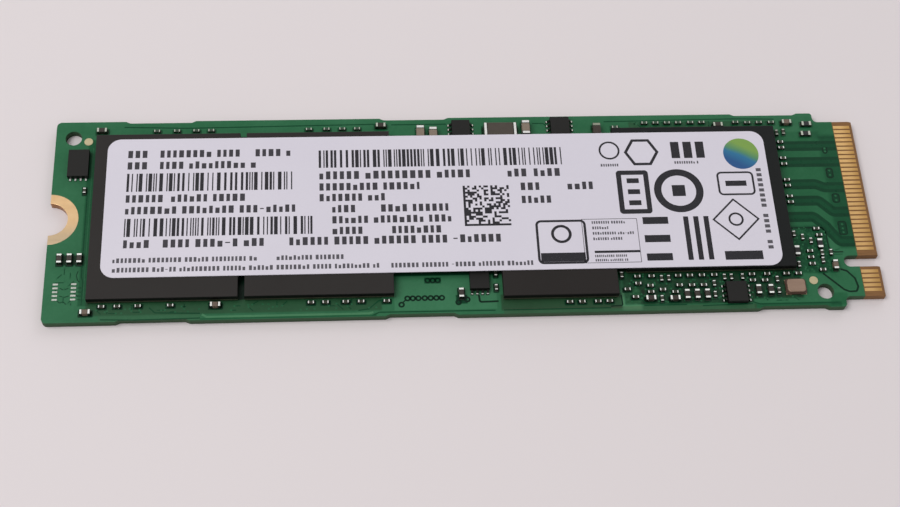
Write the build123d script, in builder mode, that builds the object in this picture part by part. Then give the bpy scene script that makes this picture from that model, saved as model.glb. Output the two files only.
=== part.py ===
from build123d import *
import os

# A gumstick solid state drive: a narrow circuit board with a card edge at one end
# and a screw notch at the other. Sizes are in millimetres.
# X runs from the screw end to the card edge, Y across the board, Z up from the underside.
# The origin is the centre of the screw notch, at the underside.

os.makedirs("parts", exist_ok=True)

# Layout along the board: it is as long as what it carries
screw_zone = 4.1
flash_length = 14.0
flash_gap = 0.6
power_bay = 10.3
memory_length = 11.0
memory_gap = 1.0
controller_length = 16.5
tail_zone = 4.5
tongue_length = 4.0

# Layout across the board, from its near long edge
flash_near_margin = 1.9
flash_width = 18.0
flash_far_margin = 2.1
memory_near_margin = 1.4
memory_width = 11.5
controller_near_margin = 3.95
controller_width = 16.0
controller_far_margin = 2.05

# Board
board_thickness = 0.8
copper_thickness = 0.03  # bare copper and its gold lie flush with the solder mask
corner_radius = 0.5
recess_depth = 0.2  # where the board was broken out of its panel
recess_length = 7.75
recess_slope_degrees = 25
recess_round = 0.3
recess_inset_screw_end = 6.3
recess_inset_middle = 31.4
recess_inset_card_end = 12.9
hole_diameter = 1.6

# Card edge
shoulder_step = 1.075
shoulder_inner_radius = 0.5
shoulder_outer_radius = 0.3
bare_tongue_length = 2.05
bevel_length = 0.3
bevel_height = 0.12
key_width = 1.2
key_length = 3.5
key_near_inset = 3.8  # from the tongue's near side to the middle of the key
contact_pitch = 0.5
contact_width = 0.35
contact_length = 1.7
contact_side_clearance = 0.6  # least distance from a contact's middle to the tongue's side
contact_key_clearance = 0.45
top_contact_inset = 0.675  # from the tongue's far side to the first contact
top_contact_key_offset = 0.525  # from the key to the first contact on its near side
bottom_contact_inset = 0.925
bottom_contact_key_offset = 0.775

# Screw notch
notch_radius = 1.75
ring_width = 1.0

# Ball grid packages
package_height = 1.0
ball_height = 0.18
ball_pitch = 1.0
ball_diameter = 0.42
ball_edge_margin = 1.0
ball_side_count = 6
substrate_thickness = 0.22
mould_edge = 0.05

# Label across the packages
label_thickness = 0.08
label_corner_radius = 1.3
label_screw_end_inset = 1.2
label_card_end_inset = 1.3
label_near_inset = 4.05
label_far_inset = 2.75

# Chips with leads
chip_height = 0.55
chip_standoff = 0.05
chip_draft_degrees = 8
lead_thickness = 0.12
lead_width = 0.2
lead_reach = 0.35
lead_shoulder = 0.08
lead_foot = 0.16
lead_pitch = 0.5
tab_thickness = 0.1  # leadless chips stand on flat tabs
tab_reach = 0.25
tab_under = 0.3

# Chip components
small_length = 0.6
small_width = 0.3
small_height = 0.3
small_terminal = 0.15
small_toe = 0.07
medium_length = 1.0
medium_width = 0.5
medium_height = 0.5
medium_terminal = 0.25
medium_toe = 0.1
resistor_height = 0.35
large_length = 1.6
large_width = 0.8
large_height = 0.8
large_terminal = 0.35
large_toe = 0.15
bulk_length = 3.3
bulk_width = 2.5
bulk_height = 0.9
bulk_terminal = 0.35
bulk_toe = 0.15
terminal_wrap = 0.015  # how far a terminal stands proud of the body it wraps
solder_climb = 0.7  # share of a terminal's height that its solder climbs

# Crystal
crystal_length = 2.0
crystal_width = 1.6
crystal_base_height = 0.2
crystal_lid_height = 0.25
crystal_lid_inset = 0.12
crystal_lid_radius = 0.3
crystal_pad_length = 0.55
crystal_pad_width = 0.45
crystal_pad_thickness = 0.04

# Power supply parts under the label
converter_size = 4.0
converter_height = 0.75
inductor_length = 2.5
inductor_width = 2.0
inductor_height = 0.9
inductor_terminal = 0.45
inductor_edge = 0.12
inductor_spacing = 3.6  # between the middles of the two
inductor_clearance = 1.0  # from the converter to the inductors beside it

# Bare pads and marks
mark_diameter = 0.85
pad_thickness = 0.03
spare_pad_length = 0.5
spare_pad_width = 0.2
spare_pad_pitch = 0.4
spare_pad_row_count = 5
spare_pad_columns_gap = 1.7

# Places that follow from the layout
flash_1_x = screw_zone
flash_2_x = flash_1_x + flash_length + flash_gap
bay_x = flash_2_x + flash_length
memory_x = bay_x + power_bay
controller_x = memory_x + memory_length + memory_gap
tail_x = controller_x + controller_length
shoulder_x = tail_x + tail_zone
board_length = shoulder_x + tongue_length
memory_end_x = memory_x + memory_length
flash_column = flash_near_margin + flash_width + flash_far_margin
controller_column = controller_near_margin + controller_width + controller_far_margin
board_width = max(flash_column, controller_column)
near_y = -board_width / 2
far_y = board_width / 2
flash_y = near_y + flash_near_margin
flash_far_y = flash_y + flash_width
memory_y = near_y + memory_near_margin
controller_y = near_y + controller_near_margin
controller_far_y = controller_y + controller_width
package_top = board_thickness + package_height
middle_z = board_thickness / 2
tongue_far_y = far_y - shoulder_step
tongue_near_y = near_y + shoulder_step
key_y = tongue_near_y + key_near_inset
ring_radius = notch_radius + ring_width
top_plane = Plane.XY.offset(board_thickness)

serial_memory_y = far_y - 5.05
hole_places = [(1.72, far_y - 1.87), (tail_x + 2.67, near_y + 1.67)]
mark_places = [(3.2, far_y - 2.3), (tail_x + 1.65, near_y + 2.85)]
spare_footprint_place = (1.93, near_y + 3.2)

converter_x = bay_x + 4.3
converter_y = 1.2
converter_tab_count = int((converter_size - 2 * lead_pitch) / lead_pitch)
inductor_y = converter_y + converter_size / 2 + inductor_clearance + inductor_width / 2
inductor_places = [(converter_x + side * inductor_spacing / 2, inductor_y) for side in (-1, 1)]


def write_node(piece, node):
    piece.part.label = node
    export_step(piece.part, f"parts/{node}.step")


def flat_places(points):
    return [Location((x, y, board_thickness), (0, 0, 0)) for x, y in points]


def upright_places(points):
    return [Location((x, y, board_thickness), (0, 0, 90)) for x, y in points]


def shifted(origin_x, origin_y, offsets):
    return [(origin_x + dx, origin_y + dy) for dx, dy in offsets]


def in_row(origin_x, y, offsets):
    return [(origin_x + dx, y) for dx in offsets]


def in_column(x, origin_y, offsets):
    return [(x, origin_y + dy) for dy in offsets]


# Circuit board: laminate under green solder mask, one solid
with BuildPart() as circuit_board:
    with BuildSketch() as outline:
        with Locations((board_length / 2, 0)):
            Rectangle(board_length, board_width)
        fillet(outline.vertices().group_by(Axis.X)[0], corner_radius)

        # The tongue is narrower than the board, with a rounded shoulder on each side
        with Locations((board_length, near_y), (board_length, far_y)):
            Rectangle(2 * tongue_length, 2 * shoulder_step, mode=Mode.SUBTRACT)
        shoulder_corners = outline.vertices().group_by(Axis.X)[-2]
        inner_corners = shoulder_corners.filter_by_position(Axis.Y, tongue_near_y, tongue_far_y)
        fillet(inner_corners, shoulder_inner_radius)
        outer_corners = outline.vertices().filter_by_position(Axis.X, shoulder_x, shoulder_x)
        outer_corners = outer_corners.sort_by(Axis.Y)
        fillet([outer_corners[0], outer_corners[-1]], shoulder_outer_radius)

        # Key notch, with a full radius at its root
        key_root_x = board_length - key_length + key_width / 2
        with Locations((key_root_x, key_y)):
            Circle(key_width / 2, mode=Mode.SUBTRACT)
        with Locations(((key_root_x + board_length) / 2, key_y)):
            Rectangle(board_length - key_root_x, key_width, mode=Mode.SUBTRACT)

        # Shallow recesses along both long edges
        recess_middles = [
            recess_inset_screw_end + recess_length / 2,
            recess_inset_middle + recess_length / 2,
            board_length - recess_inset_card_end + recess_length / 2,
        ]
        near_recesses = [Location((x, near_y), (0, 0, 0)) for x in recess_middles]
        far_recesses = [Location((x, far_y), (0, 0, 180)) for x in recess_middles]
        with Locations(near_recesses + far_recesses):
            Trapezoid(recess_length, 2 * recess_depth, recess_slope_degrees, mode=Mode.SUBTRACT)
        recess_line = board_width / 2 - recess_depth
        recess_corners = outline.vertices().filter_by(
            lambda corner: abs(abs(corner.Y) - recess_line) < 0.001
        )
        fillet(recess_corners, recess_round)

        with Locations(*hole_places):
            Circle(hole_diameter / 2, mode=Mode.SUBTRACT)
        Circle(notch_radius + copper_thickness, mode=Mode.SUBTRACT)
    extrude(amount=board_thickness)

    # The mask stops short of the contacts and round the screw notch, on both faces
    for face_plane, inwards in ((top_plane, -1), (Plane.XY, 1)):
        with BuildSketch(face_plane) as bare_copper:
            with Locations((board_length - bare_tongue_length / 2, 0)):
                Rectangle(bare_tongue_length, board_width)
            Circle(ring_radius)
        extrude(amount=inwards * copper_thickness, mode=Mode.SUBTRACT)

    # Bevel that leads the tongue into its socket
    with BuildSketch(Plane.XZ) as bevel:
        with BuildLine() as bevel_lines:
            Polyline(
                (board_length - bevel_length, board_thickness - copper_thickness),
                (board_length, board_thickness - copper_thickness - bevel_height),
                (board_length, board_thickness - copper_thickness),
                close=True,
            )
        make_face()
        mirror(about=Plane.XY.offset(middle_z))
    extrude(amount=board_width / 2, both=True, mode=Mode.SUBTRACT)
write_node(circuit_board, "circuit_board")

# Gold plated ring on both faces of the screw notch, joined by its plated wall
with BuildPart() as screw_notch_plating:
    with BuildSketch(Plane.XZ) as ring_section:
        with Locations(((notch_radius + ring_radius) / 2, middle_z)):
            Rectangle(ring_width, board_thickness)
        laminate_thickness = board_thickness - 2 * copper_thickness
        with Locations(((notch_radius + copper_thickness + ring_radius) / 2, middle_z)):
            Rectangle(ring_width - copper_thickness, laminate_thickness, mode=Mode.SUBTRACT)
    revolve(axis=Axis.Z)
    split(bisect_by=Plane.YZ, keep=Keep.TOP)
write_node(screw_notch_plating, "screw_notch_plating")


# Contact fingers, in line on either side of the key notch
def contact_places(inset, key_offset):
    contact_x = board_length - bevel_length - contact_length / 2
    far_start = tongue_far_y - inset
    near_start = key_y - key_width / 2 - key_offset
    far_run = far_start - (key_y + key_width / 2 + contact_key_clearance)
    near_run = near_start - (tongue_near_y + contact_side_clearance)
    far_count = int(far_run / contact_pitch) + 1
    near_count = int(near_run / contact_pitch) + 1
    far_side = in_column(contact_x, far_start, [-contact_pitch * i for i in range(far_count)])
    near_side = in_column(contact_x, near_start, [-contact_pitch * i for i in range(near_count)])
    return far_side + near_side


with BuildPart() as edge_contacts_top:
    with BuildSketch(Plane.XY.offset(board_thickness - copper_thickness)) as top_fingers:
        with Locations(contact_places(top_contact_inset, top_contact_key_offset)):
            Rectangle(contact_length, contact_width)
    extrude(amount=copper_thickness)
write_node(edge_contacts_top, "edge_contacts_top")

with BuildPart() as edge_contacts_bottom:
    with BuildSketch() as bottom_fingers:
        with Locations(contact_places(bottom_contact_inset, bottom_contact_key_offset)):
            Rectangle(contact_length, contact_width)
    extrude(amount=copper_thickness)
write_node(edge_contacts_bottom, "edge_contacts_bottom")

# Round marks that a placing machine aims by
with BuildPart() as placement_marks:
    with BuildSketch(top_plane) as mark_discs:
        with Locations(*mark_places):
            Circle(mark_diameter / 2)
    extrude(amount=pad_thickness)
write_node(placement_marks, "placement_marks")

# Spare footprint at the screw end, left without a chip
with BuildPart() as spare_footprint_pads:
    with BuildSketch(top_plane) as spare_pads:
        with Locations(spare_footprint_place):
            with GridLocations(spare_pad_columns_gap, spare_pad_pitch, 2, spare_pad_row_count):
                Rectangle(spare_pad_length, spare_pad_width)
    extrude(amount=pad_thickness)
write_node(spare_footprint_pads, "spare_footprint_pads")


# Ball grid packages: solder balls, a thin laminate substrate and a moulded body, all to one height
def ring_places(x, y, length, width):
    columns = int((length - 2 * ball_edge_margin) / ball_pitch) + 1
    rows = int((width - 2 * ball_edge_margin) / ball_pitch) + 1
    first_x = x + (length - (columns - 1) * ball_pitch) / 2
    first_y = y + (width - (rows - 1) * ball_pitch) / 2
    places = []
    for column in range(columns):
        for row in range(rows):
            if column in (0, columns - 1) or row in (0, rows - 1):
                places.append((first_x + column * ball_pitch, first_y + row * ball_pitch))
    return places


packages = {
    "flash_1": (flash_1_x, flash_y, flash_length, flash_width),
    "flash_2": (flash_2_x, flash_y, flash_length, flash_width),
    "memory": (memory_x, memory_y, memory_length, memory_width),
    "controller": (controller_x, controller_y, controller_length, controller_width),
}
mould_height = package_height - ball_height - substrate_thickness

for package, (x, y, length, width) in packages.items():
    with BuildPart() as balls:
        with BuildSketch(top_plane) as ball_ring:
            with Locations(ring_places(x, y, length, width)):
                RegularPolygon(ball_diameter / 2, ball_side_count)
        extrude(amount=ball_height)
    write_node(balls, f"{package}_solder_balls")

    with BuildPart() as substrate:
        with BuildSketch(top_plane.offset(ball_height)) as substrate_outline:
            with Locations((x + length / 2, y + width / 2)):
                Rectangle(length, width)
        extrude(amount=substrate_thickness)
    write_node(substrate, f"{package}_substrate")

    with BuildPart() as mould:
        with BuildSketch(top_plane.offset(ball_height + substrate_thickness)) as mould_outline:
            with Locations((x + length / 2, y + width / 2)):
                Rectangle(length, width)
        extrude(amount=mould_height)
        chamfer(mould.faces().sort_by(Axis.Z)[-1].edges(), mould_edge)
    write_node(mould, f"{package}_mould")

# Label stuck flat across the four packages
label_x = flash_1_x + label_screw_end_inset
label_length = tail_x - label_card_end_inset - label_x
label_far_y = far_y - label_far_inset
label_width = label_far_y - near_y - label_near_inset
with BuildPart() as product_label:
    with BuildSketch(Plane.XY.offset(package_top)) as label_outline:
        with Locations((label_x + label_length / 2, label_far_y - label_width / 2)):
            RectangleRounded(label_length, label_width, label_corner_radius)
    extrude(amount=label_thickness)
write_node(product_label, "product_label")

# One gull wing lead, pointing along X from the side of its chip, with its foot on the board
with BuildPart() as gull_lead:
    lead_top = chip_standoff + chip_height / 2 + lead_thickness / 2
    lead_under = lead_top - lead_thickness
    with BuildSketch(Plane.XZ) as lead_section:
        with BuildLine() as lead_lines:
            Polyline(
                (0, lead_top),
                (lead_shoulder + lead_thickness / 2, lead_top),
                (lead_reach - lead_foot + lead_thickness / 2, lead_thickness),
                (lead_reach, lead_thickness),
                (lead_reach, 0),
                (lead_reach - lead_foot, 0),
                (lead_shoulder, lead_under),
                (0, lead_under),
                close=True,
            )
        make_face()
    extrude(amount=lead_width / 2, both=True)

# One flat tab, partly under the edge of its chip
with BuildPart() as flat_tab:
    with BuildSketch(Plane.XZ) as tab_section:
        with Locations(((tab_reach - tab_under) / 2, tab_thickness / 2)):
            Rectangle(tab_reach + tab_under, tab_thickness)
    extrude(amount=lead_width / 2, both=True)


def lead_places(x, y, length, width, count, across):
    places = []
    for i in range(count):
        along = (i - (count - 1) / 2) * lead_pitch
        if across == "x":
            places.append(Location((x + length / 2, y + along, board_thickness), (0, 0, 0)))
            places.append(Location((x - length / 2, y + along, board_thickness), (0, 0, 180)))
        else:
            places.append(Location((x + along, y + width / 2, board_thickness), (0, 0, 90)))
            places.append(Location((x + along, y - width / 2, board_thickness), (0, 0, -90)))
    return places


# Small chips with gull wing leads, moulded in two halves with draft either way from the leads
winged_chips = {
    "load_switch": (bay_x + 7.23, far_y - 1.75, 1.85, 2.3, 4, "x"),
    "voltage_detector": (memory_x + 6.93, far_y - 1.48, 1.95, 2.2, 4, "x"),
    "supply_monitor": (controller_x + 10.4, controller_y - 2.35, 2.0, 2.2, 4, "x"),
    "temperature_sensor": (bay_x + 8.12, flash_y + 1.65, 1.9, 2.3, 4, "y"),
}
for chip, (x, y, length, width, count, across) in winged_chips.items():
    with BuildPart() as chip_body:
        parting_z = board_thickness + chip_standoff + chip_height / 2
        with BuildSketch(Plane.XY.offset(parting_z)) as chip_outline:
            with Locations((x, y)):
                Rectangle(length, width)
        extrude(amount=chip_height / 2, taper=chip_draft_degrees)
        extrude(chip_outline.sketch, amount=-chip_height / 2, taper=chip_draft_degrees)
    write_node(chip_body, f"{chip}_body")

    with BuildPart() as chip_leads:
        with Locations(lead_places(x, y, length, width, count, across)):
            add(gull_lead.part)
    write_node(chip_leads, f"{chip}_leads")

# Leadless chips: a straight sided body on flat tabs
tabbed_chips = {
    "serial_memory": (2.45, serial_memory_y, 2.0, 3.0, chip_height),
    "power_converter": (converter_x, converter_y, converter_size, converter_size, converter_height),
}
tab_rows = {"serial_memory": (4, "y"), "power_converter": (converter_tab_count, "x")}
for chip, (x, y, length, width, height) in tabbed_chips.items():
    with BuildPart() as chip_body:
        with BuildSketch(top_plane.offset(tab_thickness)) as chip_outline:
            with Locations((x, y)):
                Rectangle(length, width)
        extrude(amount=height)
    write_node(chip_body, f"{chip}_body")

    count, across = tab_rows[chip]
    with BuildPart() as chip_tabs:
        with Locations(lead_places(x, y, length, width, count, across)):
            add(flat_tab.part)
    write_node(chip_tabs, f"{chip}_tabs")


# Chip components: a body held between two terminals, each terminal with the toe of its solder joint
def component_body(length, width, height, terminal):
    with BuildPart() as body:
        with BuildSketch() as body_outline:
            Rectangle(length - 2 * terminal, width - 2 * terminal_wrap)
        extrude(amount=height - terminal_wrap)
    return body.part


def component_terminals(length, width, height, terminal, toe):
    with BuildPart() as terminals:
        with BuildSketch(Plane.XZ) as terminal_section:
            with BuildLine() as terminal_lines:
                Polyline(
                    (length / 2 - terminal, 0),
                    (length / 2 + toe, 0),
                    (length / 2, height * solder_climb),
                    (length / 2, height),
                    (length / 2 - terminal, height),
                    close=True,
                )
            make_face()
        extrude(amount=width / 2, both=True)
        mirror(about=Plane.YZ)
    return terminals.part


def write_components(kind, body, terminals, places):
    with BuildPart() as bodies:
        with Locations(places):
            add(body)
    write_node(bodies, f"{kind}_bodies")
    with BuildPart() as ends:
        with Locations(places):
            add(terminals)
    write_node(ends, f"{kind}_terminals")


# Smallest capacitors, 0.6 by 0.3: beside the packages, near the controller and by the card edge
row_clearance = 0.4  # from a package's near side to the middle of the row beside it
flash_far_row_clearance = 0.82  # and from its far side
controller_far_row_clearance = 1.0
small_flat = (
    in_row(flash_1_x, flash_y - row_clearance, [1.38, 2.83, 4.74, 7.73])
    + in_row(flash_2_x, flash_y - row_clearance, [6.18, 7.55, 9.43, 10.88, 13.28])
    + in_row(flash_1_x, flash_far_y + flash_far_row_clearance, [5.75, 7.7, 9.59, 11.05])
    + in_row(flash_2_x, flash_far_y + flash_far_row_clearance, [6.09, 7.85, 9.4, 10.88])
    + in_row(memory_end_x, memory_y - row_clearance, [-4.7, -3.52, -2.0, -0.9])
    + in_row(controller_x, controller_y - row_clearance, [1.01, 2.38, 4.96, 6.1, 7.27])
    + in_row(controller_x, controller_y - row_clearance, [8.47, 12.15, 13.64, 15.54, 16.73])
    + in_row(controller_x, controller_far_y + controller_far_row_clearance, [3.58, 4.73, 5.9])
    + in_row(controller_x, controller_far_y + controller_far_row_clearance, [7.05, 8.3, 9.45])
    + in_row(controller_x, controller_far_y + 0.9, [14.15, 15.35, 16.6])
    + shifted(controller_x, controller_y, [(1.02, -1.15), (-0.07, -1.75), (0.64, -2.58)])
    + shifted(controller_x, controller_y, [(2.17, -1.41), (2.17, -2.08), (3.33, -1.85)])
    + shifted(controller_x, controller_y, [(4.5, -2.13), (4.99, -1.42), (6.18, -1.45)])
    + shifted(controller_x, controller_y, [(7.34, -1.45), (12.15, -1.05), (13.34, -1.08)])
    + shifted(controller_x, controller_far_y, [(0.53, 0.55), (12.93, 0.95)])
    + in_column(tail_x + 0.7, 0, [7.47, 6.8, 5.56, 4.87, 3.03, 2.37, 1.13, 0.47])
    + shifted(tail_x, controller_y, [(2.77, 4.48), (2.94, 3.77), (1.74, 2.02)])
    + shifted(tail_x, controller_y, [(1.74, 1.33), (1.77, 0.62), (2.7, -0.05)])
)
small_upright = (
    [(3.17, serial_memory_y - 2.92)]
    + shifted(memory_x, flash_y, [(-0.6, 0.8), (-0.57, 2.32)])
    + shifted(controller_x, controller_y, [(-0.48, -0.2), (3.33, -0.64), (4.03, -0.64), (3.15, -2.78)])
    + shifted(controller_x, controller_y, [(8.37, -1.29), (8.32, -2.46), (9.45, -0.63)])
    + shifted(controller_x, controller_y, [(10.13, -0.63), (11.2, -0.63)])
    + shifted(controller_x, controller_y, [(14.55, -0.97), (14.56, -2.2)])
    + shifted(tail_x, controller_y, [(0.45, 3.95), (1.25, 3.57), (2.02, 3.15), (0.45, 0.58), (3.8, 1.85)])
    + shifted(tail_x, controller_y, [(2.92, 1.8), (2.88, 1.0)])
    + shifted(tail_x, controller_far_y, [(0.5, -0.35), (1.2, -0.26)])
)
write_components(
    "small_capacitor",
    component_body(small_length, small_width, small_height, small_terminal),
    component_terminals(small_length, small_width, small_height, small_terminal, small_toe),
    flat_places(small_flat) + upright_places(small_upright),
)

# Middle sized capacitors, 1.0 by 0.5
medium_flat = [
    (flash_1_x - 0.07, flash_y - 1.0),
    (flash_1_x + 11.89, flash_y - 0.48),
    (controller_x + 2.06, controller_y - 2.78),
    (controller_x + 4.39, controller_y - 2.83),
    (flash_1_x + 0.38, flash_far_y + 0.9),
    (flash_2_x + 13.24, flash_far_y + 1.09),
    (controller_x + 11.05, controller_far_y + 0.6),
    (tail_x + 1.65, controller_far_y + 0.83),
]
medium_upright = (
    [(x, near_y + 6.55) for x in (1.3, 2.24, 3.17)]
    + [(bay_x + 6.35, flash_y + 0.21)]
    + shifted(controller_x, controller_y, [(5.6, -2.47), (6.57, -2.47), (7.55, -2.47)])
    + shifted(controller_x, controller_y, [(12.57, -2.12), (13.75, -2.12)])
    + [(tail_x + 4.0, controller_y + 0.4)]
)
write_components(
    "medium_capacitor",
    component_body(medium_length, medium_width, medium_height, medium_terminal),
    component_terminals(medium_length, medium_width, medium_height, medium_terminal, medium_toe),
    flat_places(medium_flat) + upright_places(medium_upright),
)

# Resistors, 1.0 by 0.5 and lower, with black bodies
resistor_flat = shifted(tail_x, controller_far_y, [(3.7, 0.65), (3.45, -0.52)])
resistor_upright = shifted(tail_x, controller_y, [(0.5, 2.09), (2.88, 2.83)])
write_components(
    "resistor",
    component_body(medium_length, medium_width, resistor_height, medium_terminal),
    component_terminals(medium_length, medium_width, resistor_height, medium_terminal, medium_toe),
    flat_places(resistor_flat) + upright_places(resistor_upright),
)

# Capacitors of the power supply, 1.6 by 0.8, along the far edge
large_upright = [
    (bay_x + 3.16, far_y - 2.11),
    (bay_x + 4.43, far_y - 2.31),
    (memory_x + 3.45, far_y - 1.67),
    (controller_x - 1.4, far_y - 2.1),
]
write_components(
    "large_capacitor",
    component_body(large_length, large_width, large_height, large_terminal),
    component_terminals(large_length, large_width, large_height, large_terminal, large_toe),
    upright_places(large_upright),
)

# Bulk capacitor, partly under the label
write_components(
    "bulk_capacitor",
    component_body(bulk_length, bulk_width, bulk_height, bulk_terminal),
    component_terminals(bulk_length, bulk_width, bulk_height, bulk_terminal, bulk_toe),
    flat_places([(memory_x + 0.86, far_y - 2.41)]),
)

# Power inductors beside the converter: a pressed block with rounded corners on two wide terminals
inductor_foot = inductor_height / 6
with BuildPart() as power_inductor_bodies:
    with BuildSketch(top_plane.offset(inductor_foot)) as inductor_outline:
        with Locations(*inductor_places):
            RectangleRounded(inductor_length, inductor_width, inductor_edge)
    extrude(amount=inductor_height - inductor_foot)
write_node(power_inductor_bodies, "power_inductor_bodies")

with BuildPart() as power_inductor_terminals:
    with BuildSketch(top_plane) as inductor_feet:
        with Locations(*inductor_places):
            with GridLocations(inductor_length - inductor_terminal, 0, 2, 1):
                Rectangle(inductor_terminal, inductor_width - 2 * inductor_edge)
    extrude(amount=inductor_foot)
write_node(power_inductor_terminals, "power_inductor_terminals")

# Crystal: four corner pads, a ceramic base and a metal lid with rounded corners
crystal_place = (controller_x + 16.25, controller_y - 1.8)
with BuildPart() as crystal_pads:
    with BuildSketch(top_plane) as crystal_corners:
        with Locations(crystal_place):
            pad_span_x = crystal_length - crystal_pad_length
            pad_span_y = crystal_width - crystal_pad_width
            with GridLocations(pad_span_x, pad_span_y, 2, 2):
                Rectangle(crystal_pad_length, crystal_pad_width)
    extrude(amount=crystal_pad_thickness)
write_node(crystal_pads, "crystal_pads")

with BuildPart() as crystal_base:
    with BuildSketch(top_plane.offset(crystal_pad_thickness)) as base_outline:
        with Locations(crystal_place):
            Rectangle(crystal_length, crystal_width)
            with GridLocations(crystal_length, crystal_width, 2, 2):
                Circle(crystal_lid_inset, mode=Mode.SUBTRACT)
    extrude(amount=crystal_base_height)
write_node(crystal_base, "crystal_base")

with BuildPart() as crystal_lid:
    with BuildSketch(top_plane.offset(crystal_pad_thickness + crystal_base_height)) as lid_outline:
        with Locations(crystal_place):
            lid_length = crystal_length - 2 * crystal_lid_inset
            lid_width = crystal_width - 2 * crystal_lid_inset
            RectangleRounded(lid_length, lid_width, crystal_lid_radius)
    extrude(amount=crystal_lid_height)
    chamfer(crystal_lid.faces().sort_by(Axis.Z)[-1].edges(), mould_edge)
write_node(crystal_lid, "crystal_lid")
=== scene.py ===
import math
import random

import bmesh
import bpy
from mathutils import Matrix, Vector


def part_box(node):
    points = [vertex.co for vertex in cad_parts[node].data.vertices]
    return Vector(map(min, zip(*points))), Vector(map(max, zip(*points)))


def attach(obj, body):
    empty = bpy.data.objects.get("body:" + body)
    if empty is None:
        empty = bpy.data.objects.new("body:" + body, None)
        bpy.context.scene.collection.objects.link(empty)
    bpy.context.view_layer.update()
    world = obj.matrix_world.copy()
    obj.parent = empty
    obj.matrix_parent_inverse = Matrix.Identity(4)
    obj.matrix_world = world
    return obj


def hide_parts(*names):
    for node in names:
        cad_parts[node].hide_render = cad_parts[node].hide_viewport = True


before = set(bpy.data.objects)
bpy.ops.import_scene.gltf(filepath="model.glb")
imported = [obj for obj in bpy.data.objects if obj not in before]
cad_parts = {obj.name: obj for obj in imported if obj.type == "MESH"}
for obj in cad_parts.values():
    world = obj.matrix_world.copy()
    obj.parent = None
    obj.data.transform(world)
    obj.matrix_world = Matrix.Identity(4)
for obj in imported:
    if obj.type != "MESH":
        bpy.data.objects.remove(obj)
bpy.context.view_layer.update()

# Metres, in the frame's axes: X runs to the card edge, Y across the board, Z up from the underside.
mm = 0.001
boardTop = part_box("circuit_board")[1].z
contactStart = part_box("edge_contacts_top")[0].x
labelLow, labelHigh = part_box("product_label")


# Node trees: one wrapper for a socket, one for a tree

class Signal:
    def __init__(self, graph, socket):
        self.graph = graph
        self.socket = socket

    def maths(self, operation, first, second):
        node = self.graph.node("ShaderNodeMath", {"operation": operation}, {0: first, 1: second})
        return Signal(self.graph, node.outputs[0])

    def __add__(self, other):
        return self.maths("ADD", self, other)

    def __sub__(self, other):
        return self.maths("SUBTRACT", self, other)

    def __rsub__(self, other):
        return self.maths("SUBTRACT", other, self)

    def __mul__(self, other):
        return self.maths("MULTIPLY", self, other)

    def __gt__(self, other):
        return self.maths("GREATER_THAN", self, other)

    __radd__ = __add__
    __rmul__ = __mul__


class Graph:
    def __init__(self, tree):
        self.tree = tree

    def node(self, kind, settings=None, sockets=None):
        made = self.tree.nodes.new(kind)
        for name, value in (settings or {}).items():
            if name == "stops":
                while len(made.color_ramp.elements) < len(value):
                    made.color_ramp.elements.new(0.5)
                for stop, (place, colour) in zip(made.color_ramp.elements, value):
                    stop.position = place
                    stop.color = (*colour, 1)
            else:
                setattr(made, name, value)
        for name, value in (sockets or {}).items():
            self.feed(made.inputs[name], value)
        return made

    def feed(self, socket, value):
        if isinstance(value, Signal):
            self.tree.links.new(value.socket, socket)
        elif isinstance(value, bpy.types.NodeSocket):
            self.tree.links.new(value, socket)
        else:
            socket.default_value = value

    def out(self, kind, settings=None, sockets=None, output=0):
        return Signal(self, self.node(kind, settings, sockets).outputs[output])


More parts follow.
